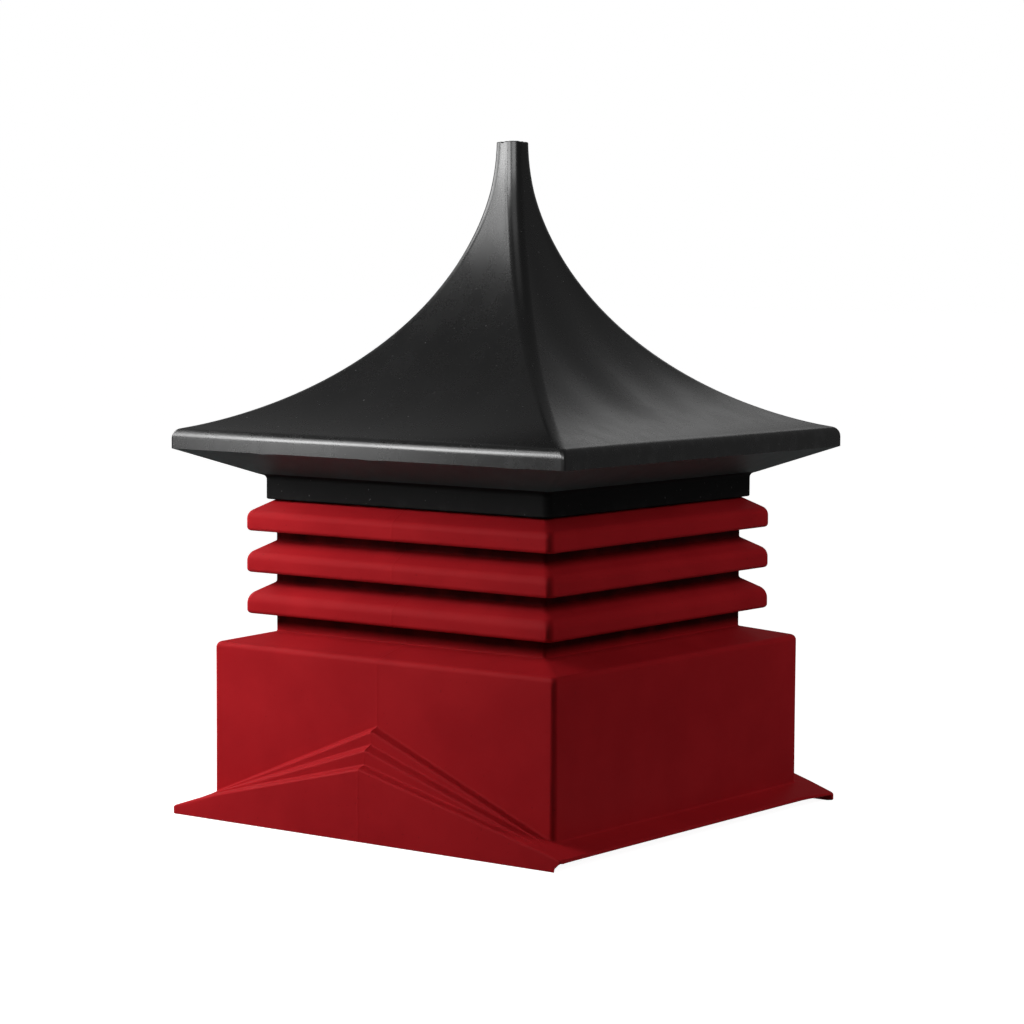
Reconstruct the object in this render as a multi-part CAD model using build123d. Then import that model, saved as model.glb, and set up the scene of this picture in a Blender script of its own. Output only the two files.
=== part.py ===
from build123d import *
import os
from math import hypot, sqrt

# A square rooftop cupola moulded in plastic: a red body with a flared, stepped foot and
# three tiers of blind louvres, and a black roof that sweeps up to a slender tip.
# Millimetres, +Z up, origin at the centre of the footprint on the ground.
# "Half" sizes run from the centre axis out to a face. Slopes are rise over run.

# Driving dimensions of the red body, from the box outwards and upwards
wall = 5.0
box_half = 266.5
box_corner = 8.0
box_height = 218.0
shoulder_bend = 14.0
shoulder_width = 55.0
shoulder_slope = 0.24
first_recess = 23.3
louvre_spacing = 52.3
louvre_depth = 28.0
louvre_corner = 10.0
louvre_slope = 0.6
nose_height = 23.0
nose_top_round = 8.0
nose_bottom_round = 5.0

# Driving dimensions of the foot: stepped gables front and back, eave flanges at the sides
flange_width = 36.0
foot_height = 22.0
lip_height = 13.0
web_toe = 1.0
steep_slope = 5 / 12
middle_slope = 4 / 12
shallow_slope = 3 / 12

# Driving dimensions of the black roof, from the collar outwards and upwards
collar_gap = 4.0
collar_height = 29.1
collar_corner = 8.0
ledge_width = 19.0
soffit_run = 84.8
soffit_rise = 35.0
fascia_height = 23.0
eave_corner = 12.0
eave_round = 5.0
sweep_rise = 367.4
spire_half = 14.7
tip_trim = 4.0
hip_round = 8.0

# Half sizes worked out from the box
recess_half = box_half - shoulder_width
louvre_half = recess_half + louvre_depth
foot_half = box_half + flange_width
collar_half = recess_half + collar_gap + wall
eave_half = collar_half + soffit_run

# Heights worked out from the ground up
bend_height = box_height - shoulder_bend
shoulder_top = box_height + shoulder_width * shoulder_slope
first_louvre = shoulder_top + first_recess
louvre_rise = nose_height + louvre_depth * louvre_slope
louvre_tiers = ("bottom", "middle", "top")
top_louvre = first_louvre + (len(louvre_tiers) - 1) * louvre_spacing
collar_foot = top_louvre + louvre_rise
collar_top = collar_foot + collar_height
fascia_foot = collar_top + soffit_rise
eave_top = fascia_foot + fascia_height
spire_top = eave_top + sweep_rise
tip_height = spire_top - tip_trim

# The gable steps, the eave flange and the soffit
gable_slopes = (steep_slope, middle_slope, shallow_slope)
step_names = ("upper", "lower")
step_depth = flange_width / len(gable_slopes)
lip_slope = (foot_height - lip_height) / flange_width
soffit_slope = soffit_rise / soffit_run

# The roof sweeps on one arc, upright at the top of the spire
sweep_run = eave_half - spire_half
sweep_radius = (sweep_rise**2 + sweep_run**2) / (2 * sweep_run)
sweep_centre = spire_half + sweep_radius

# Turns about the axis from the +X side or from the front
sides = {"right": 0, "back": 90, "left": 180, "front": 270}
gables = {"front": 0, "back": 180}
reach = 2 * (eave_half + foot_half)


def standing(points):
    """Places in the XZ plane from (distance, height) pairs."""
    return [(x, 0, z) for x, z in points]


def rounded(face, corner, radius):
    """A face with one of its corners rounded."""
    vertex = face.vertices().sort_by(lambda v: (Vector(v) - Vector(corner)).length)[0]
    return fillet(vertex, radius)


def profile(points):
    """A face in the XZ plane with straight edges."""
    return make_face(Polyline(*standing(points), close=True))


def thickness_down(slope):
    """How far straight down the wall thickness reaches through a slope."""
    return wall * hypot(1, slope)


def slab(half, corner, low, high):
    """A square block about the axis with rounded upright corners."""
    plan = RectangleRounded(2 * half, 2 * half, corner)
    return Pos(0, 0, low) * extrude(plan, high - low)


def quarter(low, high):
    """The space facing +X between the two diagonal planes through the axis."""
    plan = make_face(Polyline((0, 0), (reach, -reach), (reach, reach), close=True))
    return Pos(0, 0, low) * extrude(plan, high - low)


def mitred_side(face, half, corner):
    """The +X side of a square ring: the profile run straight along the side, mitred at
    the diagonals, with its outer upright corners rounded."""
    box = face.bounding_box()
    low, high = box.min.Z, box.max.Z
    bar = extrude(face, reach, both=True)
    return bar & quarter(low, high) & slab(half, corner, low, high)


def save(node, shape):
    """Write one node as its own file."""
    export_step(shape, f"parts/{node}.step")


def save_ring(name, side):
    """Write the four sides of a square ring, turned from the one that faces +X."""
    for place, angle in sides.items():
        save(f"{place}_{name}", Rot(0, 0, angle) * side)


def box_side():
    """One upright side of the box, down to the underside of the eave flange."""
    inner, low = box_half - wall, foot_height - thickness_down(lip_slope)
    outline = [(inner, low), (box_half, low), (box_half, bend_height), (inner, bend_height)]
    return mitred_side(profile(outline), box_half, box_corner)


def shoulder():
    """The bend at the top of the box, the gentle slope above it and the first recess."""
    shift = wall * shoulder_slope - thickness_down(shoulder_slope)
    inner_box = box_half - wall
    inner_recess = recess_half - wall
    outline = [
        (box_half, bend_height),
        (box_half, box_height),
        (recess_half, shoulder_top),
        (recess_half, first_louvre),
        (inner_recess, first_louvre),
        (inner_recess, shoulder_top + shift),
        (inner_box, box_height + shift),
        (inner_box, bend_height),
    ]
    face = rounded(profile(outline), (box_half, 0, box_height), shoulder_bend)
    face = rounded(face, (inner_box, 0, box_height + shift), shoulder_bend - wall)
    return mitred_side(face, box_half, box_corner)


def louvre(low, high):
    """One blind louvre: flat underside, upright nose, sloping top and the recess above."""
    nose_top = low + nose_height
    shift = wall * louvre_slope - thickness_down(louvre_slope)
    inner_nose = louvre_half - wall
    inner_recess = recess_half - wall
    outline = [
        (inner_recess, low),
        (louvre_half, low),
        (louvre_half, nose_top),
        (recess_half, low + louvre_rise),
        (recess_half, high),
        (inner_recess, high),
        (inner_recess, low + louvre_rise + shift),
        (inner_nose, nose_top + shift),
        (inner_nose, low + wall),
        (inner_recess, low + wall),
    ]
    face = rounded(profile(outline), (louvre_half, 0, low), nose_bottom_round)
    face = rounded(face, (louvre_half, 0, nose_top), nose_top_round)
    return mitred_side(face, louvre_half, louvre_corner)


def gable_line(slope):
    """The three corners of a gable line, left to right."""
    peak = foot_height + box_half * slope
    return [(-box_half, foot_height), (0, peak), (box_half, foot_height)]


def under_ledge(slope):
    """The underside of the ledge on a gable line, left to right."""
    return [(x, z - thickness_down(slope)) for x, z in gable_line(slope)]


def upright_plate(top, bottom, front, depth):
    """A plate between a top and a bottom line, its front face that far before the axis."""
    outline = profile([*top, *reversed(bottom)])
    return Pos(0, depth - front, 0) * extrude(outline, depth, dir=(0, -1, 0))


def gable_wall():
    """The front side of the box, which ends on the steepest gable line."""
    top = [(-box_half, bend_height), (box_half, bend_height)]
    plate = upright_plate(top, under_ledge(steep_slope), box_half, wall)
    mitres = Rot(0, 0, sides["front"]) * quarter(0, bend_height)
    return plate & mitres & slab(box_half, box_corner, 0, bend_height)


def gable_step(level):
    """A ledge on its own gable line, with the riser that drops from its front edge."""
    slope, next_slope = gable_slopes[level], gable_slopes[level + 1]
    front = box_half + (level + 1) * step_depth
    ledge = upright_plate(gable_line(slope), under_ledge(slope), front, step_depth)
    riser = upright_plate(gable_line(slope), under_ledge(next_slope), front, wall)
    return ledge + riser


def gable_panel():
    """The lowest ledge and the panel in front of it, which stands on the ground."""
    line = gable_line(shallow_slope)
    top = [(-foot_half, lip_height), *line, (foot_half, lip_height)]
    ground = [(-foot_half, 0), (foot_half, 0)]
    ledge = upright_plate(line, under_ledge(shallow_slope), foot_half, step_depth)
    return ledge + upright_plate(top, ground, foot_half, wall)


def eave_flange():
    """The flange on +X that falls away from the box, and under each end of it a web that
    curves down to the gable panel's foot."""
    under_lip = lip_height - thickness_down(lip_slope)
    under_box = foot_height - thickness_down(steep_slope)
    high = [(box_half, foot_height), (foot_half, lip_height)]
    low = [(foot_half, under_lip), (box_half, under_box)]
    end = foot_half - wall
    plate = extrude(profile([*high, *low]), end, both=True)
    below = extrude(profile([*low, (box_half, 0), (foot_half, 0)]), end, both=True)
    toe = end - web_toe
    inner = toe - (under_lip - web_toe)
    bend = TangentArc((box_half, toe, web_toe), (box_half, inner, under_lip), tangent=(0, 0, 1))
    corners = [(inner, under_box), (end, under_box), (end, 0), (toe, 0)]
    rest = Polyline(bend @ 1, *[(box_half, y, z) for y, z in corners], bend @ 0)
    web = extrude(make_face([bend, rest]), flange_width, dir=(1, 0, 0)) & below
    return plate + web + mirror(web, Plane.XZ)


def swept_height(distance, inset):
    """Height of the roof's sweep at a distance from the axis, inset through its wall."""
    return spire_top - sqrt((sweep_radius + inset) ** 2 - (sweep_centre - distance) ** 2)


def swept_half(height, inset):
    """Half width of the roof's sweep at a height, inset through its wall."""
    return sweep_centre - sqrt((sweep_radius + inset) ** 2 - (spire_top - height) ** 2)


def swept_block(inset, edge, low, high):
    """A block between two heights with four swept sides that end at an upright edge."""
    eave = swept_height(edge, inset)
    middle = (high + eave) / 2
    places = [(swept_half(z, inset), z) for z in (high, middle)] + [(edge, eave)]
    right = ThreePointArc(*standing(places))
    left = ThreePointArc(*standing([(-x, z) for x, z in places]))
    top = Line(right @ 0, left @ 0)
    skirt = Polyline(right @ 1, (edge, 0, low), (-edge, 0, low), left @ 1)
    bar = extrude(make_face([right, left, top, skirt]), reach, both=True)
    return bar & (Rot(0, 0, 90) * bar)


def roof_outside():
    """The outside of the roof: rounded hips, rounded corners and a rolled eave edge."""
    block = swept_block(0, eave_half + eave_corner, fascia_foot, tip_height)
    block = fillet(block.edges().filter_by(GeomType.ELLIPSE), hip_round)
    block = block & slab(eave_half, eave_corner, fascia_foot, tip_height)
    eave = swept_height(eave_half, 0)
    edges = block.edges().filter_by_position(Axis.Z, eave - eave_round, eave + eave_round)
    return fillet(edges, eave_round)


def roof_slope(outside):
    """The shell of the roof on +X, from the foot of the fascia up to the tip plate."""
    inside = swept_block(wall, eave_half - wall, 0, tip_height - wall)
    return (outside - inside) & quarter(fascia_foot, tip_height - wall)


def tip_plate(outside):
    """The flat plate that closes the top."""
    return outside & slab(eave_half, eave_corner, tip_height - wall, tip_height)


def soffit():
    """The sloping underside of the eave and the level ledge that sits on the body."""
    drop = thickness_down(soffit_slope)
    ledge_half = collar_half - ledge_width
    outline = [
        (eave_half, fascia_foot),
        (collar_half, collar_top),
        (ledge_half, collar_top),
        (ledge_half, collar_top + wall),
        (collar_half - (drop - wall) / soffit_slope, collar_top + wall),
        (eave_half - drop / soffit_slope, fascia_foot),
    ]
    return mitred_side(profile(outline), eave_half, eave_corner)


def collar():
    """The upright skirt that hangs from the soffit around the top of the body."""
    inner = collar_half - wall
    ends = [(collar_half, collar_foot), (collar_half, collar_top)]
    outline = [*ends, (inner, collar_top), (inner, collar_foot)]
    return mitred_side(profile(outline), collar_half, collar_corner)


os.makedirs("parts", exist_ok=True)

roof = roof_outside()
save("tip_plate", tip_plate(roof))
save_ring("roof_slope", roof_slope(roof))
save_ring("soffit", soffit())
save_ring("collar", collar())

for tier, name in enumerate(louvre_tiers):
    foot = first_louvre + tier * louvre_spacing
    head = collar_top if name == louvre_tiers[-1] else foot + louvre_spacing
    save_ring(f"{name}_louvre", louvre(foot, head))
save_ring("shoulder", shoulder())

for place in ("left", "right"):
    save(f"{place}_wall", Rot(0, 0, sides[place]) * box_side())
    save(f"{place}_eave_flange", Rot(0, 0, sides[place]) * eave_flange())

for place, angle in gables.items():
    save(f"{place}_wall", Rot(0, 0, angle) * gable_wall())
    save(f"{place}_gable_panel", Rot(0, 0, angle) * gable_panel())
    for level, name in enumerate(step_names):
        save(f"{place}_{name}_step", Rot(0, 0, angle) * gable_step(level))
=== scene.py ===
# %% [markdown]
# A square rooftop cupola, moulded in plastic: a red body with a stepped foot and three tiers
# of louvres, under a black roof that sweeps up to a thin spire.
#
# The solid model of the cupola is loaded first and stays where it is. A finer skin could be
# modelled freely beside it, but then the two would drift apart. Everything below takes its
# places from the solid model instead, so nothing is measured twice and a change to the model
# carries through.

# %% Load the model
from math import asin, atan2, hypot, pi, radians

import bmesh
import bpy
import numpy as np
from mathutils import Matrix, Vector


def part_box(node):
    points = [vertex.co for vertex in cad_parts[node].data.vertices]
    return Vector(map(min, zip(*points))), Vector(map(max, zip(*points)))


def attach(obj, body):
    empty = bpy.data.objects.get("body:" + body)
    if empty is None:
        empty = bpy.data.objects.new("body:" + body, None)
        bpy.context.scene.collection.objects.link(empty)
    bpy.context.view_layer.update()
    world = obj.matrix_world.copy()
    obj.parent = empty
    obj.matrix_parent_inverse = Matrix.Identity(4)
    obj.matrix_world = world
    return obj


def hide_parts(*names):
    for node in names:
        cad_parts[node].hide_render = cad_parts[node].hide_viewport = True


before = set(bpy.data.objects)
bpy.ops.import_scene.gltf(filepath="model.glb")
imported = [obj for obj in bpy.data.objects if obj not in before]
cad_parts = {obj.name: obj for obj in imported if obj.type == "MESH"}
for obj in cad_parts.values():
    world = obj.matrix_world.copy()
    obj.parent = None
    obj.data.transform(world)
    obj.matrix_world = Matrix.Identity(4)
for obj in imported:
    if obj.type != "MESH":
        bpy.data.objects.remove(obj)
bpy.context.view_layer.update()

# %% [markdown]
# On the real cupola every part stacks on the one below, so a few half widths and heights
# describe all of it. They could be typed in again, but they are read from the boxes of the
# solid parts, because typed copies go stale. Half sizes run from the centre axis out to a
# face and heights run up from the ground, all in metres. Only sizes that no box shows, such
# as the wall and the rounds, are written down. The skin's collar also stands a little further
# out than the solid one, and its foot a little higher.

# %% Sizes read from the model
mm = 0.001
wall = 5 * mm
box_corner = 7 * mm
fascia_height = 23 * mm
lip_height = 14.5 * mm
nose_height = 23 * mm
spire_half = 14.7 * mm
nose_corner = 9 * mm
recess_corner = 4 * mm
collar_corner = 10 * mm
eave_corner = 5 * mm
collar_lift = 2.2 * mm
foot_lift = 3 * mm


def low(node):
    """Lowest corner of a solid part."""
    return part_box(node)[0]


def high(node):
    """Highest corner of a solid part."""
    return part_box(node)[1]


box_half = high("right_wall").x
recess_half = low("right_shoulder").x + wall
louvre_half = high("right_top_louvre").x
collar_half = high("right_collar").x + collar_lift
foot_half = high("front_gable_panel").x
eave_half = high("right_roof_slope").x
bend_height = high("right_wall").z
foot_height = high("right_eave_flange").z + foot_lift
collar_foot = low("right_collar").z
collar_top = high("right_collar").z
fascia_foot = high("right_soffit").z
eave_top = fascia_foot + fascia_height
tip_height = high("tip_plate").z
louvre_feet = [low(f"right_{tier}_louvre").z for tier in ("bottom", "middle", "top")]
half_sizes = (recess_half, collar_half, louvre_half, box_half, foot_half, eave_half)
heights = (foot_height, bend_height, *louvre_feet, collar_foot, eave_top, tip_height)
print("half sizes", [round(v / mm, 1) for v in half_sizes])
print("heights", [round(v / mm, 1) for v in heights])

# %% [markdown]
# A cupola shows itself best from a corner, with the gable side on the left and the eave side
# on the right, from just above the eave. A short lens close by would make the upright edges
# lean. A long lens from four metres away keeps them nearly parallel, so that is set up here,
# with the camera turned by a fraction of a degree as a hand-held one is.

# %% Camera
scene = bpy.context.scene
scene.view_settings.view_transform = "Standard"

eye = Vector((2.3358, -3.0948, 0.7095))
target = Vector((0.0014, 0.0011, 0.3801))
camera = bpy.data.objects.new("camera", bpy.data.cameras.new("camera"))
camera.data.lens, camera.data.sensor_width = 107.37, 36
camera.location = eye
camera.rotation_euler = (target - eye).to_track_quat("-Z", "Y").to_euler()
camera.rotation_euler.rotate_axis("Z", radians(0.303))
scene.collection.objects.link(camera)
scene.camera = camera
print("camera", round((target - eye).length, 3), "m away")

# %% [markdown]
# Every ring of the cupola is a square with rounded corners. Each could be a cube with a
# bevel, but then no two rings would have matching points. So one helper lays out the columns
# of points for all of them. Along a flat side a column has a place s from -1 to 1, and round
# a corner it has an angle. The columns crowd together at the middle of the sides, where the
# two halves of the mould met and left a fine line.

# %% Columns round a square
flat_count, turn_count = 29, 25
middle = flat_count // 2
line_half = 0.008
line = line_half * np.array([-1, -0.5, 0, 0.5, 1])
flat = np.linspace(-1, 1, flat_count)
flat = np.concatenate([flat[:middle], line, flat[middle + 1 :]])
turn = np.linspace(0, pi / 2, turn_count)[1:-1]
one_side = np.concatenate([flat, np.ones(len(turn))])
one_turn = np.concatenate([np.zeros(len(flat)), turn])
columns = 4 * len(one_side)
heading = np.repeat(np.arange(4) * pi / 2, len(one_side))
along, around = np.tile(one_side, 4), np.tile(one_turn, 4)
gable_side = np.abs(np.sin(heading)) > 0.5
print("columns", columns)


def turned(outward, sideways):
    """Turn places given as (outward, sideways) on the +X side to the side each column is
    on: x = outward cos - sideways sin, y = outward sin + sideways cos."""
    x = outward * np.cos(heading) - sideways * np.sin(heading)
    y = outward * np.sin(heading) + sideways * np.cos(heading)
    return x, y


def ring_rows(places):
    """Rows of points round a square, from (half width, height, corner radius) triples.
    Along a flat side a point is s (half - radius) sideways, and round a corner it is on a
    circle of the corner's radius. A height may also be one number for each column."""
    rows = []
    for half, height, radius in places:
        outward = half - radius + radius * np.cos(around)
        sideways = along * (half - radius) + radius * np.sin(around)
        x, y = turned(outward, sideways)
        rows.append(np.stack([x, y, np.broadcast_to(height, x.shape)], axis=-1))
    return np.stack(rows)


# %% [markdown]
# Moulded plastic has no sharp edges. A Bevel modifier could round them, but it gives every
# edge one width, and the real rounds differ along one part. So a profile is first written as
# its corners, and this helper rounds each corner by its own radius in all the columns at
# once. A second helper adds rows to the long straight runs, so that there is something to
# bend.

# %% Rounding and dividing a profile
def soften(rows, radii, steps=6, share=0.46):
    """Round the inner corners of the profile in every column. The curve leaves the run
    before the corner and joins the run after it at a distance t = radius tan(turn / 2),
    but never over the given share of either run. Between them it is a circle's arc, written
    as the rational curve ((1-q)^2 a + 2q(1-q) w c + q^2 b) / ((1-q)^2 + 2q(1-q) w + q^2)
    with w = cos(turn / 2). A radius is one number or one for each column."""
    kept = [rows[:1]]
    q = np.linspace(0, 1, steps + 1)[:, None, None]
    for before, corner, after, radius in zip(rows[:-2], rows[1:-1], rows[2:], radii[1:-1]):
        if np.max(radius) <= 0:
            kept.append(corner[None])
            continue
        back, ahead = before - corner, after - corner
        back_run = np.maximum(np.linalg.norm(back, axis=-1), 1e-9)
        ahead_run = np.maximum(np.linalg.norm(ahead, axis=-1), 1e-9)
        cosine = np.sum(back * ahead, axis=-1) / (back_run * ahead_run)
        half_turn = (pi - np.arccos(np.clip(cosine, -1, 1))) / 2
        reach = np.minimum(radius * np.tan(half_turn), share * np.minimum(back_run, ahead_run))
        a = corner + back * (reach / back_run)[:, None]
        b = corner + ahead * (reach / ahead_run)[:, None]
        weight = np.cos(half_turn)[:, None]
        mix = (1 - q) ** 2 + 2 * q * (1 - q) * weight + q**2
        kept.append(((1 - q) ** 2 * a + 2 * q * (1 - q) * weight * corner + q**2 * b) / mix)
    kept.append(rows[-1:])
    return np.concatenate(kept)


def divide(rows, longest=14 * mm):
    """Add evenly spaced rows wherever two rows stand further apart than the longest run."""
    kept = [rows[:1]]
    for start, end in zip(rows[:-1], rows[1:]):
        count = int(np.ceil(np.linalg.norm(end - start, axis=-1).max() / longest))
        q = (np.arange(1, max(count, 1) + 1) / max(count, 1))[:, None, None]
        kept.append(start + (end - start) * q)
    return np.concatenate(kept)


trial = ring_rows([(1, 1, 0.1), (1, 0, 0.1), (0.5, 0, 0.1)])
print("a profile of", len(trial), "rows has", len(soften(trial, [0, 0.2, 0])), "when softened")

# %% [markdown]
# A hollow moulding cools unevenly, so its flat walls come out slightly wavy, and the two
# halves of the mould leave a fine ridge up the middle of the gable sides. Both could be
# painted into a bump map, but then the outline would stay dead straight. They are moved
# points here. The waves are one function of place, the same for every part, so that
# neighbouring parts still meet.

# %% Waves and the mould line
chance = np.random.default_rng(7)
wave_count, quickest_turns = 6, np.array([14, 14, 22])
wave_turns = chance.uniform(-1, 1, (wave_count, 3)) * quickest_turns
wave_starts = chance.uniform(0, 2 * pi, wave_count)
wave_gain = 1.6


def sway(rows):
    """How far a wall stands out, about -1 to 1: the mean of six sine waves of place, times
    a gain."""
    return np.sin(rows @ wave_turns.T + wave_starts).mean(axis=-1) * wave_gain


def normals(rows):
    """Normals of a ring: the cross product of the steps down the rows and along the columns."""
    down = np.gradient(rows, axis=0)
    across = np.roll(rows, -1, axis=1) - np.roll(rows, 1, axis=1)
    normal = np.cross(down, across)
    return normal / np.maximum(np.linalg.norm(normal, axis=-1, keepdims=True), 1e-12)


def wavy(rows, amount=0.6 * mm, inward=False):
    """Push a ring out and in by the waves; inward keeps it behind its own outline."""
    push = amount * (sway(rows) - int(inward))
    x, y = turned(np.cos(around), np.sin(around))
    return rows + push[..., None] * np.stack([x, y, np.zeros(columns)], axis=-1)


def mould_line(rows, height=0.45 * mm):
    """Raise the ridge on the gable sides, highest in the middle column."""
    ridge = height * np.maximum(0, 1 - np.abs(along) / line_half) * gable_side * (around == 0)
    return rows + normals(rows) * ridge[:, None]


print("shortest wave", round(2 * pi / np.linalg.norm(wave_turns, axis=1).max(), 2), "m")

# %% [markdown]
# Wear and a painted shade follow the shape. Hands and ladders rub the edges, and the corners
# under the louvres, where the shade falls, are darkened in the colour as a painted shade. Both
# could be painted into a texture, but that has to be done again when a size changes. Here two
# functions work them out from the rows, as a number from 0 to 1 for each point.

# %% Edges and painted shade under the louvres
full_edge = 0.26
# how far the painted shade reaches below a louvre, and how softly it ends
painted_shade_end, painted_shade_fade = 22 * mm, 11 * mm
far_off = 1


def edge_share(rows):
    """How sharply the surface turns outward at each point, from 0 to 1: the turn between
    the runs before and after it, as a share of the turn of a full edge, in radians."""
    back = rows - np.roll(rows, 1, axis=0)
    ahead = np.roll(rows, -1, axis=0) - rows
    bend = np.linalg.norm(np.cross(back, ahead), axis=-1)
    scale = np.linalg.norm(back, axis=-1) * np.linalg.norm(ahead, axis=-1)
    outward = np.sum((back - ahead) * normals(rows), axis=-1) > 0
    return np.clip(bend / np.maximum(scale, 1e-12) / full_edge, 0, 1) * outward


# painted shade: this share darkens the red where the shade falls under the louvres
def painted_shade_share(rows):
    """The painted shade under a louvre, from 0 to 1: a point's share of the way in from the nose
    to the recess, times a fall from 1 to 0 with the gap under the nearest louvre above."""
    inside = (louvre_half - np.abs(rows[..., :2]).max(axis=-1)) / (louvre_half - recess_half)
    gap = np.array(louvre_feet)[:, None, None] - rows[..., 2]
    gap = np.where(gap < -1 * mm, far_off, gap).min(axis=0)
    return np.clip(inside, 0, 1) * np.clip((painted_shade_end - gap) / painted_shade_fade, 0, 1)


print("grime reaches", round(painted_shade_end / mm), "mm below a louvre")

# %% [markdown]
# Each part of the cupola is a closed shell with a real wall. One way is a single surface with a
# Solidify modifier. This grid already knows its inside, which has its own corners, so its rows
# run down the outside and back up the inside, and the columns close round the ring. The faces
# point outwards because the rows go down while the columns go anticlockwise. The mesh also
# stores, for each point, the wear and the painted shade under the louvres, for the plastic to
# read.

# %% From a grid to a mesh
made = []
plastics = {}
sharp_fold = radians(38)


def skin(name, rows, slot, nodes, finish=None):
    """Make a piece from rows of points, in place of the solid parts that it covers."""
    count, width = rows.shape[:2]
    grid = np.arange(count * width).reshape(count, width)
    grid = np.concatenate([grid, grid[:1]])
    grid = np.concatenate([grid, grid[:, :1]], axis=1)
    faces = np.stack([grid[:-1, :-1], grid[1:, :-1], grid[1:, 1:], grid[:-1, 1:]], axis=-1)
    mesh = bpy.data.meshes.new(name)
    mesh.from_pydata(rows.reshape(-1, 3), [], faces.reshape(-1, 4).tolist())
    # the second number is the painted shade under the louvres
    for kind, share in (("edge", edge_share(rows)), ("painted_shade_under_louvres", painted_shade_share(rows))):
        stored = mesh.attributes.new(kind, "FLOAT", "POINT")
        stored.data.foreach_set("value", share.ravel().astype(np.float32))
    work = bmesh.new()
    work.from_mesh(mesh)
    bmesh.ops.remove_doubles(work, verts=work.verts, dist=1e-6)
    bmesh.ops.dissolve_degenerate(work, edges=work.edges, dist=1e-7)
    work.to_mesh(mesh)
    work.free()
    mesh.shade_smooth()
    mesh.set_sharp_from_angle(angle=sharp_fold)
    piece = bpy.data.objects.new(name, mesh)
    scene.collection.objects.link(piece)
    even = piece.modifiers.new("even shading", "WEIGHTED_NORMAL")
    even.keep_sharp = True
    mesh.materials.append(plastics[finish or slot])
    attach(piece, "root")
    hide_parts(*nodes)
    made.append(piece)
    print(name, len(mesh.polygons), "faces in place of", len(nodes), "parts")


def four(name):
    """Names of the same part on the four sides."""
    return [f"{place}_{name}" for place in ("front", "right", "back", "left")]


# %% [markdown]
# A finish is a sum of a few patterns. In the node editor it becomes a web that is hard to
# read. Written out, it reads as a sum: a value on its way through the nodes is wrapped in a
# small class, and an expression on it adds the Math nodes. Every other node comes from one
# method, which takes the node's type, its settings and its sockets.

# %% Shader maths
class Value:
    """A socket's output; + - and * on it add Math nodes."""

    def __init__(self, finish, socket):
        self.finish = finish
        self.socket = socket

    def sum(self, operation, *values):
        settings = {"operation": operation}
        return self.finish.node("ShaderNodeMath", settings, dict(enumerate(values)))

    def __add__(self, other):
        return self.sum("ADD", self, other)

    def __radd__(self, other):
        return self.sum("ADD", other, self)

    def __sub__(self, other):
        return self.sum("SUBTRACT", self, other)

    def __rsub__(self, other):
        return self.sum("SUBTRACT", other, self)

    def __mul__(self, other):
        return self.sum("MULTIPLY", self, other)

    def __rmul__(self, other):
        return self.sum("MULTIPLY", other, self)


class Finish:
    """The nodes of one material or world."""

    def __init__(self, owner):
        owner.use_nodes = True
        self.owner = owner
        self.tree = owner.node_tree
        self.tree.nodes.clear()

    def node(self, kind, settings=None, sockets=None, out=0):
        """Add a node: first its settings, then the values or links of its sockets."""
        node = self.tree.nodes.new(kind)
        for name, value in (settings or {}).items():
            setattr(node, name, value)
        for key, value in (sockets or {}).items():
            if isinstance(value, Value):
                self.tree.links.new(value.socket, node.inputs[key])
            else:
                node.inputs[key].default_value = value
        return Value(self, node.outputs[out]) if len(node.outputs) else node

    def place(self, stretch=(1, 1, 1)):
        """Object coordinates in metres, stretched along the axes."""
        here = self.node("ShaderNodeTexCoord", out="Object")
        return self.node("ShaderNodeMapping", {}, {"Vector": here, "Scale": stretch})

    def noise(self, scale, detail=3, stretch=(1, 1, 1)):
        """Soft noise round 0.5, that many grains to the metre."""
        sockets = {"Vector": self.place(stretch), "Scale": scale, "Detail": detail}
        return self.node("ShaderNodeTexNoise", {"noise_dimensions": "3D"}, sockets)

    def between(self, value, start, end):
        """0 below start, 1 above end and a smooth rise between."""
        settings = {"interpolation_type": "SMOOTHSTEP"}
        sockets = {"Value": value, "From Min": start, "From Max": end}
        return self.node("ShaderNodeMapRange", settings, sockets)

    def blend(self, share, first, second):
        """A mix of two colours."""
        sockets = {0: share, 6: first, 7: second}
        return self.node("ShaderNodeMix", {"data_type": "RGBA"}, sockets, out=2)

    def attribute(self, name):
        """A number kept on the mesh."""
        return self.node("ShaderNodeAttribute", {"attribute_name": name}, out="Fac")

    def bump(self, height, distance, strength):
        """A bumped normal from a height in shares of that distance."""
        sockets = {"Strength": strength, "Distance": distance, "Height": height}
        return self.node("ShaderNodeBump", {}, sockets, out="Normal")

    def plastic(self, **sockets):
        """A Principled surface on the output; underscores in a name stand for spaces."""
        named = {name.replace("_", " "): value for name, value in sockets.items()}
        surface = self.node("ShaderNodeBsdfPrincipled", {}, named)
        self.node("ShaderNodeOutputMaterial", {}, {"Surface": surface})
        return self.owner


print("a finish has", [name for name in vars(Finish) if name[0] != "_"])
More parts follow.
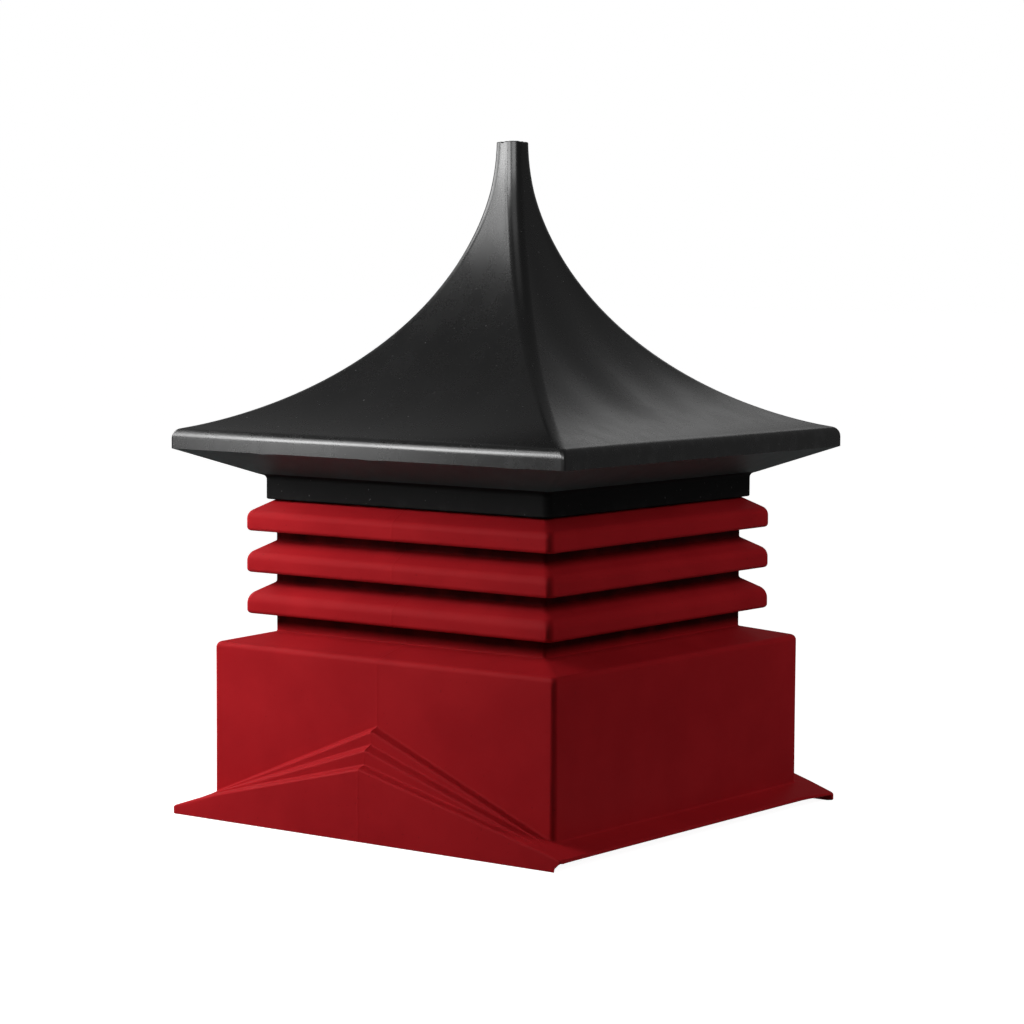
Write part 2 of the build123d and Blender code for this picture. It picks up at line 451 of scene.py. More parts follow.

# %% [markdown]
# The body is polyethylene, coloured right through before it is moulded. A flat red would look
# like paint. The real surface is satin and never glossy: fine orange peel, a faint mottling where
# the powder melted unevenly, dark specks of scorched powder and small rubs on the edges. The
# corners under the louvres are darkened in blotches as a painted shade. The patterns are noise in
# the object's own coordinates, so they run on from one part to the next. Painted textures would
# need a seam and a size. The shine is weak and tinted red, because the light that comes back has
# been through the skin of the plastic.

# %% Red plastic
def red_finish():
    """The red of the body: a mottle of two reds, with specks, pale rubs on the edges and a
    painted shade under the louvres. Its bump is a cloud and a fine grain."""
    finish = Finish(bpy.data.materials.new("moulded_red"))
    mottle = finish.noise(9, 4)
    cloud = finish.noise(31, 3)
    grain = finish.noise(420, 2)
    rub = finish.attribute("edge") * finish.between(finish.noise(55, 4), 0.50, 0.72)
    specks = finish.between(finish.noise(210, 1), 0.735, 0.77)
    # painted shade: the red turns near black in blotches in the corners under the louvres
    painted_shade = finish.attribute("painted_shade_under_louvres") * (0.65 + cloud * 0.6)
    deep, light = (0.350, 0.0102, 0.0144, 1), (0.392, 0.0124, 0.0168, 1)
    dull, rubbed = (0.33, 0.0090, 0.0128, 1), (0.45, 0.022, 0.028, 1)
    # scorched specks, and the near black of the painted shade under the louvres
    scorched, painted_shade_colour = (0.17, 0.006, 0.008, 1), (0.055, 0.0020, 0.0027, 1)
    tone = finish.blend(finish.between(mottle, 0.36, 0.64), deep, light)
    tone = finish.blend(finish.between(cloud, 0.42, 0.68) * 0.25, tone, dull)
    tone = finish.blend(rub * 0.10, tone, rubbed)
    tone = finish.blend(specks * 0.45, tone, scorched)
    tone = finish.blend(painted_shade, tone, painted_shade_colour)
    height = cloud * 0.55 + grain * 0.10 + specks * -0.35
    roughness = 0.48 + mottle * 0.10 + grain * 0.06 + rub * 0.10
    return finish.plastic(
        Base_Color=tone,
        Roughness=roughness,
        Normal=finish.bump(height, 0.7 * mm, 0.45),
        Specular_IOR_Level=0.05,
        Specular_Tint=(1.0, 0.16, 0.16, 1),
    )


plastics["red_plastic"] = red_finish()
print("red plastic", len(plastics["red_plastic"].node_tree.nodes), "nodes")

# %% [markdown]
# The roof is the same plastic in black. What the eye reads on black is its shine and hardly its
# colour, so most of the pattern goes into the roughness: a broad soft sheen, a little dragged
# down the slope where the moulding was wiped, and pale specks of dust. The surfaces under the
# eave are duller, because nothing ever polishes them. Under the eave the black is also painted a
# lighter cool grey as painted light: it stands in for the light reflected up from the floor, and
# its cool tint cancels the red light that bounces up from the body. Three materials could be
# copied and edited, but one function makes all three from a few numbers.

# %% Black plastic
def black_finish(name, sheen, shine, deep, light):
    """A black that goes in patches from a deep to a light tone, with specks and rubs on the
    edges. Its roughness starts at the sheen and rises in streaks down the slope."""
    finish = Finish(bpy.data.materials.new(name))
    mottle = finish.noise(7, 4)
    cloud = finish.noise(26, 3)
    grain = finish.noise(460, 2)
    streak = finish.noise(38, 3, (1, 1, 0.22))
    rub = finish.attribute("edge") * finish.between(finish.noise(60, 4), 0.48, 0.70)
    specks = finish.between(finish.noise(240, 1), 0.76, 0.79)
    tone = finish.blend(finish.between(mottle, 0.36, 0.64), (*deep, 1), (*light, 1))
    rubbed, dusty = (0.03, 0.03, 0.031, 1), (0.10, 0.10, 0.10, 1)
    tone = finish.blend(rub * 0.35, tone, rubbed)
    tone = finish.blend(specks * 0.6, tone, dusty)
    height = cloud * 0.5 + streak * 0.25 + grain * 0.08
    roughness = sheen + mottle * 0.07 + streak * 0.09 + grain * 0.04 + specks * 0.2
    return finish.plastic(
        Base_Color=tone,
        Roughness=roughness,
        Normal=finish.bump(height, 0.6 * mm, 0.22),
        Specular_IOR_Level=shine,
    )


plastics["black_plastic"] = black_finish(
    "moulded_black", 0.17, 0.5, (0.0036, 0.0036, 0.0037), (0.0050, 0.0050, 0.0051)
)
plastics["collar_black"] = black_finish(
    "moulded_collar_black", 0.50, 0.04, (0.0054, 0.0054, 0.0055), (0.0068, 0.0068, 0.0069)
)
# painted light under the eave: a lighter cool grey stands in for light from the floor and cancels
# the red bounce from the body
plastics["soffit_painted_light"] = black_finish(
    "moulded_soffit_painted_light", 0.36, 0.10, (0.0390, 0.0560, 0.0560), (0.0450, 0.0640, 0.0640)
)
print("black plastic", len(plastics["black_plastic"].node_tree.nodes), "nodes")

# %% [markdown]
# The roof sweeps up on one arc of a circle, upright at the top. It could be four curved
# planes joined at the hips, but joints are hard to keep smooth. As rings of a profile, the
# hips come by themselves. The profile goes from the middle of the tip plate, down the sweep,
# round the rolled eave edge and down the fascia, and then back up inside. The hips are
# roundest just under the spire, where they also swell out a little.

# %% Roof sweep
cut_away = 4 * mm
spire_top = tip_height + cut_away
sweep_rise = spire_top - eave_top
sweep_run = eave_half - spire_half
sweep_radius = (sweep_rise**2 + sweep_run**2) / (2 * sweep_run)
sweep_centre = spire_half + sweep_radius


def sweep(inset, top, edge, count):
    """Half widths and heights down the sweep, between a height and a half width:
    half = centre - R cos(angle), height = top of the spire - R sin(angle), with R the
    radius plus the inset."""
    radius = sweep_radius + inset
    start = asin((spire_top - top) / radius)
    end = atan2((radius**2 - (sweep_centre - edge) ** 2) ** 0.5, sweep_centre - edge)
    angle = np.linspace(start, end, count)
    return sweep_centre - radius * np.cos(angle), spire_top - radius * np.sin(angle)


def hip_radius(half):
    """The round of the hips: widest just under the spire, and small at the eaves."""
    halves, rounds = [15, 25, 60, 150, 270, 296, 305], [14, 17, 17, 14, 11, 8, 5]
    return np.interp(half / mm, halves, rounds) * mm


def swell(half):
    """How far the hips swell out from the arc, against the share of the way to the eave."""
    shares, swells = [0.05, 0.13, 0.2, 0.5, 0.65, 1], [4.2, 5.0, 5.0, 3.2, 2.3, 0.2]
    return np.interp(half / eave_half, shares, swells) * mm


print("sweep radius", round(sweep_radius / mm, 1), "mm")

# %% [markdown]
# A thin moulding shrinks on its mould, which leaves shallow hollows that run down the slopes.
# A Displace modifier with a cloud texture would dent the roof like hammered metal. A few
# sine waves of the place along the eave give long soft hollows instead.

# %% Hollows in the slopes
def ripple(rows, height, widest, seed):
    """Hollows that run down the slopes, fading out at the hips: a third of the sum of nine
    sine waves of the places along the eave and out from the axis, less 1, times 1 - s^4."""
    chance = np.random.default_rng(seed)
    across = rows[..., 1] * np.cos(heading) - rows[..., 0] * np.sin(heading)
    outward = rows[..., 0] * np.cos(heading) + rows[..., 1] * np.sin(heading)
    value = np.zeros(across.shape)
    for wave in range(9):
        cycles = widest * chance.uniform(0.5, 1.6)
        lean, start = chance.uniform(-0.25, 0.25), chance.uniform(0, 2 * pi)
        value += np.sin(cycles * (across + lean * outward) + start + 1.7 * heading)
    return height * (value / 3 - 1) * (1 - along**4)


trial = ripple(ring_rows([(eave_half, eave_top, 0)]), 1, 40, 5)
print("hollows go from", trial.min().round(2), "to", trial.max().round(2))

# %% [markdown]
# The outside of the roof is now stacked from its rings, rounded and given its waves and
# hollows, which fade out at the tip and at the eave. The inside could copy it point by
# point, but nobody sees it, so it follows the plain arc with half as many rings.

# %% Roof surface
outer_count, inner_count = 48, 24
roll_width, roll_round, tip_round = 20 * mm, 13 * mm, 1.2 * mm
half, height = sweep(0, tip_height, eave_half, outer_count)
half = half + swell(half)
edge_height = np.interp(eave_half, half, height)
kept = half < eave_half - roll_width
outer_sweep = list(zip(half[kept], height[kept], hip_radius(half[kept])))
outer_sweep.append((eave_half, edge_height, eave_corner))
half, height = sweep(wall, tip_height - wall, eave_half - wall, inner_count)
inner_sweep = list(zip(half, height, np.minimum(hip_radius(half), half - 1 * mm)))
places = [(0, tip_height, 0), *outer_sweep, (eave_half, fascia_foot, eave_corner)]
radii = [0, tip_round, *[0] * (len(outer_sweep) - 2), roll_round, 0]
roof_wave = 0.5 * mm
fade_foot, eave_fade, tip_fade = 4 * mm, 30 * mm, 120 * mm
roof_outside = wavy(divide(soften(ring_rows(places), radii)), roof_wave, inward=True)
roof_height = roof_outside[..., 2]
on_slope = np.clip((roof_height - edge_height - fade_foot) / eave_fade, 0, 1)
on_slope *= np.clip((tip_height - roof_height) / tip_fade, 0, 1)
hollows = ripple(roof_outside, height=0.4 * mm, widest=40, seed=5) * on_slope
roof_outside += normals(roof_outside) * hollows[..., None]
fascia_inside = (eave_half - wall, fascia_foot, eave_corner - 1 * mm)
inside = [fascia_inside, *reversed(inner_sweep), (0, tip_height - wall, 0)]
print("eave edge at", round(edge_height / mm, 1), "mm")

# %% [markdown]
# On the real roof the cut at the tip is a little ragged, and a sliver of flash hangs from the
# eave edge here and there, where plastic crept into the joint of the mould. Separate slivers
# could be glued on, but they are part of the moulding, so a few points of the grid are
# lowered instead, by their direction round the axis.

# %% Ragged tip and flash
cut_depth, cut_half = 1.5 * mm, 5 * mm
ragged_depth, flash_depth, flash_share = 1.3 * mm, 2.2 * mm, 0.55
bearing = np.arctan2(roof_outside[..., 1], roof_outside[..., 0])
on_cut = roof_outside[..., 2] > tip_height - cut_depth
away = np.hypot(roof_outside[..., 0], roof_outside[..., 1]) > cut_half
ragged = np.maximum(0, np.sin(9 * bearing + 1) * np.sin(5 * bearing + 0.5))
ragged = ragged + 0.5 + 0.5 * np.sin(2 * bearing)
roof_outside[..., 2] -= ragged_depth * ragged * on_cut * away
flash = np.maximum(0, np.sin(23 * bearing + 1.1) * np.sin(11 * bearing + 2) - flash_share)
roof_outside[-1, :, 2] -= flash_depth * flash[-1] * (around == 0)
skin(
    "roof_sweep",
    np.concatenate([roof_outside, ring_rows(inside)]),
    "black_plastic",
    [*four("roof_slope"), "tip_plate"],
)

# %% [markdown]
# Under the eaves the roof turns in on a slope to the collar. It is the same moulding as the roof,
# but its finish is duller, and its black is painted lighter and cooler as painted light, so it is
# a ring of its own. It starts on the line where the fascia ends and takes the same waves, so no
# gap shows.

# %% Underside of the eaves
soffit_slope = (fascia_foot - collar_top) / (eave_half - collar_half)
drop = wall * hypot(1, soffit_slope)
bend_out, bend_corner = 7 * mm, 6 * mm
bend_half, bend_foot = collar_half + bend_out, collar_top + bend_out * soffit_slope
bend_below = (bend_half, bend_foot, bend_corner)
bend_above = (bend_half, bend_foot + drop, bend_corner)
below = [(eave_half, fascia_foot, eave_corner), bend_below]
above = [bend_above, (eave_half - drop / soffit_slope, fascia_foot, eave_corner)]
soffit_rows = np.concatenate([divide(ring_rows(below)), ring_rows(above)])
soffit_rows = wavy(soffit_rows, roof_wave, inward=True)
# the underside takes the finish with the painted light under the eave
skin("eave_underside", soffit_rows, "black_plastic", four("soffit"), "soffit_painted_light")

# %% [markdown]
# The collar is the upright skirt that slips over the top of the body and hides the joint. It
# could be a plain square tube. The real one bends softly out of the slope above it and has a
# slightly rounded lower edge, so its profile starts on the slope, a little way out, and the
# same helper rounds it.

# %% Collar skirt
ledge_width = 19 * mm
ledge_half = collar_half - ledge_width
inner_corner = 4 * mm
outer = [
    bend_below,
    (collar_half, collar_top, collar_corner),
    (collar_half, collar_foot, collar_corner),
    (collar_half - wall, collar_foot, inner_corner),
]
inner = [
    (collar_half - wall, collar_top, inner_corner),
    (ledge_half, collar_top, inner_corner),
    (ledge_half, collar_top + wall, inner_corner),
    bend_above,
]
bend_round, rim_round = 6 * mm, 2 * mm
collar_rows = divide(soften(ring_rows(outer), [0, bend_round, rim_round, 0]))
collar_rows = wavy(collar_rows, roof_wave, inward=True)
collar_rows = np.concatenate([collar_rows, ring_rows(inner)])
skin("collar_skirt", collar_rows, "black_plastic", four("collar"), "collar_black")

# %% [markdown]
# Each louvre is blind: a flat underside, an upright nose and a sloping top that runs into the
# recess above it. Slats could be added to a box one by one, but the three are part of one
# skin, and their rounds are never quite the same: the lowest is the softest. So one function
# makes a whole ring of louvre from its foot, its head and its two rounds.

# %% Louvres
louvre_slope = 0.6
nose_foot_round = inner_nose_corner = 5 * mm


def louvre(tier, foot, head, top_round, crease):
    """One ring of louvre, from the recess above it down to its flat underside."""
    rise = nose_height + (louvre_half - recess_half) * louvre_slope
    shift = wall * louvre_slope - wall * hypot(1, louvre_slope)
    inner_recess, inner_nose = recess_half - wall, louvre_half - wall
    outer = [
        (recess_half, head, recess_corner),
        (recess_half, foot + rise, recess_corner),
        (louvre_half, foot + nose_height, nose_corner),
        (louvre_half, foot, nose_corner),
        (inner_recess, foot, inner_corner),
    ]
    inner = [
        (inner_recess, foot + wall, inner_corner),
        (inner_nose, foot + wall, inner_nose_corner),
        (inner_nose, foot + nose_height + shift, inner_nose_corner),
        (inner_recess, foot + rise + shift, inner_corner),
        (inner_recess, head, inner_corner),
    ]
    rows = divide(soften(ring_rows(outer), [0, crease, top_round, nose_foot_round, 0]))
    rows = mould_line(wavy(rows))
    rows = np.concatenate([rows, wavy(ring_rows(inner))])
    skin(f"{tier}_louvre_ring", rows, "red_plastic", four(f"{tier}_louvre"))


heads = [*louvre_feet[1:], collar_top]
louvre("bottom", louvre_feet[0], heads[0], top_round=17 * mm, crease=4 * mm)
louvre("middle", louvre_feet[1], heads[1], top_round=14 * mm, crease=2 * mm)
louvre("top", louvre_feet[2], heads[2], top_round=12 * mm, crease=2 * mm)

# %% [markdown]
# Below the louvres the body steps out on a gentle slope and bends down over the box. The bend
# is wide enough to catch the light, so a bevelled box would need many segments there. Here
# six steps round it, and smooth shading hides them.

# %% Shoulder
shoulder_bend, shoulder_crease = 14 * mm, 2 * mm
body_line = 0.35 * mm
inner_box_corner = 3 * mm
box_height = bend_height + shoulder_bend
shoulder_slope = 0.24
shoulder_top = box_height + (box_half - recess_half) * shoulder_slope
shift = wall * shoulder_slope - wall * hypot(1, shoulder_slope)
outer = [
    (recess_half, louvre_feet[0], recess_corner),
    (recess_half, shoulder_top, recess_corner),
    (box_half, box_height, box_corner),
    (box_half, bend_height, box_corner),
]
inner = [
    (box_half - wall, bend_height, inner_box_corner),
    (box_half - wall, box_height + shift, inner_box_corner),
    (recess_half - wall, shoulder_top + shift, inner_corner),
    (recess_half - wall, louvre_feet[0], inner_corner),
]
rows = divide(soften(ring_rows(outer), [0, shoulder_crease, shoulder_bend, 0]))
rows = mould_line(wavy(rows), body_line)
rows = np.concatenate([rows, wavy(ring_rows(inner))])
skin("shoulder_ring", rows, "red_plastic", four("shoulder"))

# %% [markdown]
# The foot is where the body fits a pitched roof. On the gable sides three ledges climb to the
# middle, each on its own slope, with a riser between them and an upright panel in front. At
# the corners all three meet and run out into the flange along the eave sides, which ends in a
# thin lip. Cutting this out of blocks would leave joints where the slopes meet. It is a
# single grid instead, in which every row follows its own line, and this cell gives the
# heights along the lines.

# %% Lines of the foot
flange_slope = (foot_height - lip_height) / (foot_half - box_half)
step_depth = (foot_half - box_half) / 3
flat_half = box_half - box_corner
lip_wall = 4 * mm
under_lip = lip_height - lip_wall * hypot(1, flange_slope)
web_depth = 3 * mm
web_inner = foot_half - wall - web_depth


def foot_height_at(x, peak):
    """Height of a foot line at x: over the box it falls from its peak in the middle to
    the corner, foot + peak (1 - |x| / box half), and past it, it lies on the flange."""
    over = np.abs(x) - box_half
    rise = peak * np.maximum(0, -over / box_half)
    return foot_height + rise - flange_slope * np.maximum(0, over)


def foot_bottom_at(x, y):
    """Underside of the foot: on the ground below the gable panels, and from their inner
    face up a quarter of an ellipse to the flange's underside."""
    past = (np.abs(y) - web_inner) / web_depth
    under = foot_height_at(x, 0) - lip_wall * hypot(1, flange_slope)
    arc = under * np.sqrt(1 - np.clip(past, 0, 1) ** 2)
    return np.where(past <= 0, under, np.where(past < 0.999, arc, 0))


print("flange falls", round((foot_height - lip_height) / mm, 1), "mm to its lip")

# %% [markdown]
# Seen from above, every row of the foot is a square, and its columns have to meet those of
# the wall. Spread evenly, as on the other rings, they would cross the fold along the edge of
# the box and make it jagged. So the corner columns are placed one by one: one on the fold,
# and a few round the inner curve of the gable panel.

# %% Plan of the foot
lip_corner = 2.5 * mm


def foot_row(half):
    """The plan of one row of the foot. The columns of the flat part stand at the same
    places in every row; those of the corner spread from there to the row's own corner,
    with one on the edge of the box and five round the web's quarter circle."""
    reach = half - box_half
    steps = np.array([0, 9 * mm, 18 * mm, web_inner - box_half])
    ends = web_inner - box_half + web_depth * np.array([0.36, 0.69, 0.93, 1.0])
    run = foot_half - box_half - lip_corner
    offsets = np.concatenate([steps, ends, [run]]) / run * max(reach - lip_corner, 0)
    offsets = np.concatenate([[flat_half + 0.5 * box_corner], box_half + offsets])
    bend = np.array([1, 2, 3]) * pi / 8
    bend_u = half - lip_corner + lip_corner * np.sin(bend[:2])
    bend_w = half - lip_corner + lip_corner * np.cos(bend[:2])
    u_half = np.concatenate([offsets, bend_u[:1]])
    w_half = np.concatenate([np.full(len(offsets), half), bend_w[:1]])
    middle = [bend_u[1]]
    u = np.concatenate([flat * flat_half, u_half, middle, w_half[::-1]])
    w = np.concatenate([np.full(len(flat), half), w_half, middle, u_half[::-1]])
    return turned(np.tile(w, 4), np.tile(u, 4))


def wall_row(half):
    """The plan of a row that follows the box's rounded upright corner."""
    radius = half - flat_half
    outward = half - radius + radius * np.cos(around)
    return turned(outward, along * flat_half + radius * np.sin(around))


print("foot columns", foot_row(foot_half)[0].size, "ring columns", columns)

# %% [markdown]
# The real foot isn't quite square. Two opposite corners of the flange hang a little, the
# gable panels draw in at the other two, below the lip, and the left end leans in. All three
# could be sculpted, but as functions of place they are smooth and can be measured.

# %% Hanging and drawn-in corners
foot_drift = -2.2 * mm
corner_drop = 4.5 * mm
end_draw = 9 * mm


def corner_dip(x, y, z):
    """How far two opposite corners of the flange hang: past the diagonal through the box's
    corner the surface falls evenly to the full drop at the outer corner, and less below
    the top of the lip."""
    past = (np.abs(x + y) - 2 * box_half) / (2 * (foot_half - box_half))
    return corner_drop * np.clip(past, 0, 1) * np.clip(z / lip_height, 0, 1)


def panel_end(x, y, z):
    """The ends of the gable panels draw in below the lip on a quarter of an ellipse, and
    more behind their face: limit = foot half - draw sqrt(1 - (z / under lip)^2) - (foot
    half - |y|), the last term never over a wall."""
    below = (z < under_lip) & (x * y < 0)
    draw_in = end_draw * np.sqrt(1 - np.clip(z / under_lip, 0, 1) ** 2)
    limit = foot_half - draw_in - np.minimum(foot_half - np.abs(y), wall)
    return np.where(below & (np.abs(y) > web_inner), np.clip(x, -limit, limit), x)


dip = corner_dip(foot_half, foot_half, lip_height)
print("the outer corner hangs by", round(float(dip) / mm, 1), "mm")

# %% [markdown]
# Here are the heights of the ledges in the middle of the gable, each at its inner and its
# outer edge. A ledge could have sharp edges, but the real ones are rounded at the nose and in
# the hollow, so each line brings its own radius. The inside has the same lines, one wall
# further in and without rounds.

# %% Ledges and risers
cove_rise, cove_round = 9 * mm, 3.5 * mm
hollow, nose, ground_round = 3 * mm, 4 * mm, 1 * mm
upper_in, upper_out = 110.5 * mm, 106.7 * mm
middle_in, middle_out = 90.5 * mm, 84.8 * mm
lower_in, lower_out = 67.4 * mm, 64.0 * mm
upper_half, middle_half = box_half + step_depth, box_half + 2 * step_depth
inset_halves = (foot_half, foot_half - step_depth, foot_half - 2 * step_depth, box_half)
inset = [half - wall for half in inset_halves]
slant = lip_wall * hypot(1, flange_slope)
outer_lines = [
    (wall_row(box_half), upper_in, cove_rise, 0),
    (wall_row(box_half), upper_in, 0, cove_round),
    (foot_row(upper_half), upper_out, 0, nose),
    (foot_row(upper_half), middle_in, 0, hollow),
    (foot_row(middle_half), middle_out, 0, nose),
    (foot_row(middle_half), lower_in, 0, hollow),
    (foot_row(foot_half), lower_out, 0, nose),
]
inner_lines = [
    (foot_row(inset[0]), lower_out),
    (foot_row(inset[1]), lower_in),
    (foot_row(inset[1]), middle_out),
    (foot_row(inset[2]), middle_in),
    (foot_row(inset[2]), upper_out),
    (wall_row(inset[3]), upper_in),
]
print("ledges", [round(v / mm, 1) for v in (upper_out, middle_out, lower_out)], "mm up")

# %% [markdown]
# Now the rows are stacked: the soft bend at the wall's foot, three ledges, three risers, the
# ground line, and the same again inside. Ledges could be separate objects, but those would
# have to be joined, so every row is worked out in place. The corners are bent last.

# %% Stepped foot
def on_ground(plan):
    """A row of the foot's underside."""
    x, y = plan
    return np.stack([x, y, foot_bottom_at(x, y)], axis=-1)


def on_line(plan, peak, lift):
    """A row of the foot on its own line, lifted by the same amount everywhere."""
    x, y = plan
    return np.stack([x, y, foot_height_at(x, peak) + lift], axis=-1)


def under_line(plan, peak):
    """A row inside the foot: a wall thickness under its line, or the web's underside."""
    x, y = plan
    web = (np.abs(x) > box_half - 0.01 * mm) & (np.abs(y) > web_inner)
    height = np.where(web, foot_bottom_at(x, y), foot_height_at(x, peak) - slant)
    return np.stack([x, y, height], axis=-1)


outer = [on_line(plan, peak, lift) for plan, peak, lift, radius in outer_lines]
outer += [on_ground(foot_row(foot_half)), on_ground(foot_row(inset[0]))]
radii = [radius for plan, peak, lift, radius in outer_lines] + [ground_round, 0]
inner = [under_line(plan, peak) for plan, peak in inner_lines]
inner += [on_line(wall_row(inset[3]), upper_in, cove_rise)]
foot_outside = mould_line(divide(soften(np.stack(outer), radii)), body_line)
foot_rows = np.concatenate([foot_outside, np.stack(inner)])
foot_rows[..., 0] = panel_end(*np.moveaxis(foot_rows, -1, 0))
foot_rows[..., 2] -= corner_dip(*np.moveaxis(foot_rows, -1, 0))
foot_rows[..., 2] = np.maximum(foot_rows[..., 2], 0)
outer_left = (-foot_rows[..., 0] - box_half) / (foot_half - box_half)
foot_rows[..., 0] += foot_drift * np.clip(outer_left, 0, 1)
steps = [f"{place}_{level}_step" for place in ("front", "back") for level in ("upper", "lower")]
panels = ["front_gable_panel", "back_gable_panel", "left_eave_flange", "right_eave_flange"]
skin("stepped_foot", wavy(foot_rows), "red_plastic", steps + panels)

# %% [markdown]
# The box stands between the shoulder and the foot. A cube would be enough, but for its lower
# edge, which follows the steepest line of the gable a finger's width above the ledge. So the
# soft bend at the wall's foot belongs to the foot, and no joint shows on the flat wall.

# %% Box
top = on_line(wall_row(box_half), upper_in, 0)
top[:, 2] = bend_height
bottom = on_line(wall_row(box_half), upper_in, cove_rise)
inner_bottom = on_line(wall_row(box_half - wall), upper_in, cove_rise)
inner_top = inner_bottom * np.array([1, 1, 0]) + np.array([0, 0, bend_height])
rows = mould_line(wavy(divide(np.stack([top, bottom]))), body_line)
rows = np.concatenate([rows, wavy(np.stack([inner_bottom, inner_top]))])
skin("box_ring", rows, "red_plastic", four("wall"))

# %% [markdown]
# The cupola stands on a pale floor in a white room. Making the room white with strong light
# would wash out the plastic. So the floor and the world show white to the camera and in
# reflections only, and send little light to the surfaces. The floor is part white card and
# part glow, so it still keeps the soft shadow under the cupola.

# %% Floor and world
def seen_plainly(finish):
    """1 for rays from the camera, from mirrors and through glass, and 0 for soft light."""
    kinds = ("Camera", "Glossy", "Transmission")
    rays = [finish.node("ShaderNodeLightPath", out=f"Is {kind} Ray") for kind in kinds]
    camera_ray, glossy, clear = rays
    return 1 - (1 - camera_ray) * (1 - glossy) * (1 - clear)


def floor_finish():
    """White to the eye and in reflections, and a plain pale card to the lamps."""
    finish = Finish(bpy.data.materials.new("pale_floor"))
    card = finish.node("ShaderNodeBsdfDiffuse", {}, {"Color": (0.4, 0.4, 0.4, 1)})
    length = {"operation": "LENGTH"}
    spread = finish.node("ShaderNodeVectorMath", length, {0: finish.place()}, out="Value")
    pale = finish.blend(finish.between(spread, 0.5, 1.6), (0.95, 0.95, 0.95, 1), (1, 1, 1, 1))
    glow = finish.node("ShaderNodeEmission", {}, {"Color": pale, "Strength": 1.0})
    both = finish.node("ShaderNodeAddShader", {}, {0: card, 1: glow})
    shown = finish.node("ShaderNodeMixShader", {}, {0: seen_plainly(finish), 1: card, 2: both})
    finish.node("ShaderNodeOutputMaterial", {}, {"Surface": shown})
    return finish.owner


def room_finish():
    """A world that is white to the eye and only dimly lights the surfaces."""
    finish = Finish(bpy.data.worlds.new("studio"))
    dim = finish.node("ShaderNodeBackground", {}, {"Color": (1, 1, 1, 1), "Strength": 0.006})
    white = finish.node("ShaderNodeBackground", {}, {"Color": (1, 1, 1, 1), "Strength": 1.0})
    mixed = finish.node("ShaderNodeMixShader", {}, {0: seen_plainly(finish), 1: dim, 2: white})
    finish.node("ShaderNodeOutputWorld", {}, {"Surface": mixed})
    return finish.owner


floor_reach = 30
floor = bpy.data.objects.new("floor", bpy.data.meshes.new("floor"))
ways = ((-1, -1), (1, -1), (1, 1), (-1, 1))
corners = [(floor_reach * x, floor_reach * y, 0) for x, y in ways]
floor.data.from_pydata(corners, [], [(0, 1, 2, 3)])
floor.data.materials.append(floor_finish())
scene.collection.objects.link(floor)
scene.world = room_finish()
print("floor reaches", floor_reach, "m each way")

# %% [markdown]
# Black plastic mirrors whatever stands round it, and in a white room it turns grey. A studio
# hangs dark cloth round the set and lets only the lamps shine. The cloth here is a wide dome
# and a mat round the foot, which only reflections see: the camera, the shadows and the soft
# light pass through.

# %% Dark cloth round the set
def cloth_finish():
    """A dull dark grey glow, so that reflections of it are nearly black."""
    finish = Finish(bpy.data.materials.new("dark_cloth"))
    glow = finish.node("ShaderNodeEmission", {}, {"Color": (1, 1, 1, 1), "Strength": 0.16})
    finish.node("ShaderNodeOutputMaterial", {}, {"Surface": glow})
    return finish.owner


def cloth(name, rows):
    """A stage surface from rows of points that close round, seen by reflections only."""
    count, width = rows.shape[:2]
    grid = np.arange(count * width).reshape(count, width)
    grid = np.concatenate([grid, grid[:, :1]], axis=1)
    faces = np.stack([grid[:-1, :-1], grid[1:, :-1], grid[1:, 1:], grid[:-1, 1:]], axis=-1)
    mesh = bpy.data.meshes.new(name)
    mesh.from_pydata(rows.reshape(-1, 3), [], faces.reshape(-1, 4).tolist())
    mesh.materials.append(cloth_material)
    hung = bpy.data.objects.new(name, mesh)
    scene.collection.objects.link(hung)
    hung.visible_camera = hung.visible_diffuse = False
    hung.visible_shadow = hung.visible_transmission = False
    print(name, len(mesh.polygons), "faces")


cloth_material = cloth_finish()
sky = np.linspace(0, pi / 2, 12)[:, None]
turn_round = np.linspace(0, 2 * pi, 48, endpoint=False)
compass = np.stack([np.cos(turn_round), np.sin(turn_round), 0 * turn_round], axis=-1)
upward = np.array([0, 0, 1])
dome_reach = 7.0
dome = dome_reach * (np.cos(sky)[..., None] * compass + np.sin(sky)[..., None] * upward)
cloth("dark_dome", dome)
mat_reach = np.array([0.408, 1.2 * dome_reach])[:, None, None]
mat = mat_reach * compass + 1 * mm * upward
cloth("dark_mat", mat)

# %% [markdown]
# The light comes from softboxes on the left, near the gable side, so it falls off along the
# front and leaves the eave side in half shadow, which a pair from the right fills. A sun
# lamp would light the front evenly, and one bare lamp would cut hard shadows under the
# louvres.

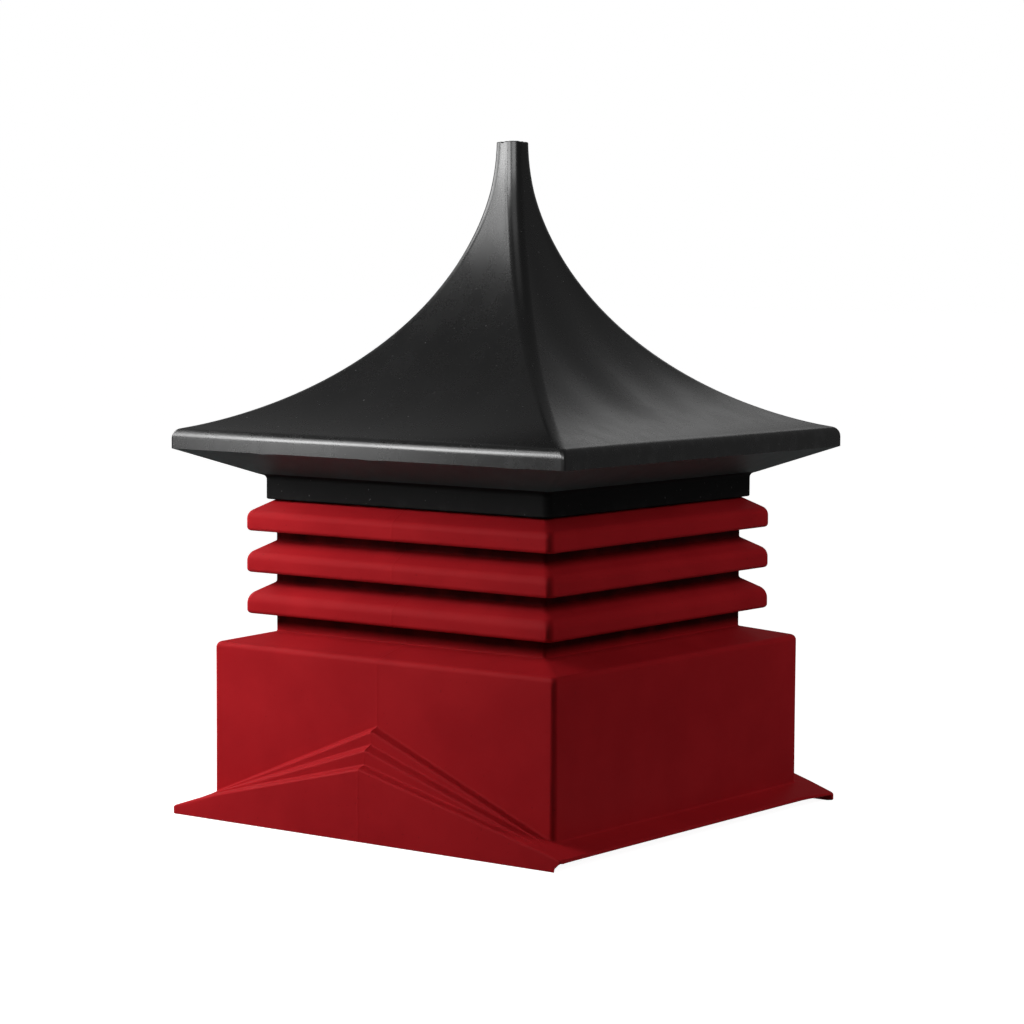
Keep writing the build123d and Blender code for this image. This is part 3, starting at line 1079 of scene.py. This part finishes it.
# %% Softboxes
def softbox(name, place, aim, width, height, power, light=True, shine=True):
    """A rectangular lamp that faces a point. It gives soft light, shows in the shine, or both."""
    lamp = bpy.data.lights.new(name, "AREA")
    lamp.shape = "RECTANGLE"
    lamp.size, lamp.size_y, lamp.energy = width, height, power
    holder = bpy.data.objects.new(name, lamp)
    holder.location = place
    holder.rotation_euler = (Vector(aim) - Vector(place)).to_track_quat("-Z", "Y").to_euler()
    holder.visible_diffuse, holder.visible_glossy, holder.visible_camera = light, shine, False
    scene.collection.objects.link(holder)
    print(name, power, "W")


softbox("near_softbox", (-0.61, -0.71, 0.90), (-0.05, -0.1, 0.5), 0.42, 0.38, 1.2, shine=False)
softbox("key_softbox", (-0.92, -1.12, 0.86), (-0.15, -0.1, 0.3), 0.5, 0.4, 9.5, shine=False)
softbox("side_softbox", (-1.05, -0.75, 0.76), (-0.2, -0.2, 0.3), 0.45, 0.4, 10, shine=False)
softbox("right_softbox", (1.75, 1.05, 1.85), (0, 0, 0.3), 1.0, 1.0, 11, shine=False)
softbox("right_low_softbox", (2.1, 1.25, 1.25), (0, 0, 0.4), 1.0, 0.6, 11, shine=False)

# %% [markdown]
# The shine on the black roof is laid on apart from the light: the softboxes give light and
# no shine, and white cards give shine and no light. One set of lamps for both would be
# simpler, but its reflections would not fall where they are wanted.

# %% Cards for the shine
softbox("key_card", (-0.87, -1.26, 0.95), (-0.15, -0.1, 0.3), 0.65, 0.4, 15, light=False)
softbox("tall_card", (-0.96, -1.15, 1.38), (0, 0, 0.78), 0.55, 0.5, 5.2, light=False)
softbox("left_card", (-1.55, -0.35, 1.1), (0, 0, 0.8), 1.2, 0.7, 14, light=False)
softbox("front_card", (-0.1, -1.7, 1.15), (0, 0, 0.8), 0.9, 0.8, 26, light=False)
softbox("camera_card", (1.4, -1.5, 1.15), (0, 0, 0.8), 1.4, 0.8, 22, light=False)
softbox("sky_card", (1.2, -1.6, 2.3), (0, 0, 0.6), 1.6, 1.3, 6.5, light=False)
softbox("top_card", (0.7, -0.95, 2.9), (0, 0, 0.6), 1.2, 1.2, 1.8, light=False)
softbox("low_card", (-0.89, -1.20, 0.48), (-0.15, -0.3, 0.54), 0.34, 0.25, 1.4, light=False)
softbox("back_card", (-0.7, 1.95, 1.55), (0, 0, 0.5), 1.1, 0.5, 1.05, light=False)

# %% [markdown] Last comes the size of the finished skin, in triangles.

# %% Sizes and finish
print("triangles", sum(len(p.vertices) - 2 for piece in made for p in piece.data.polygons))
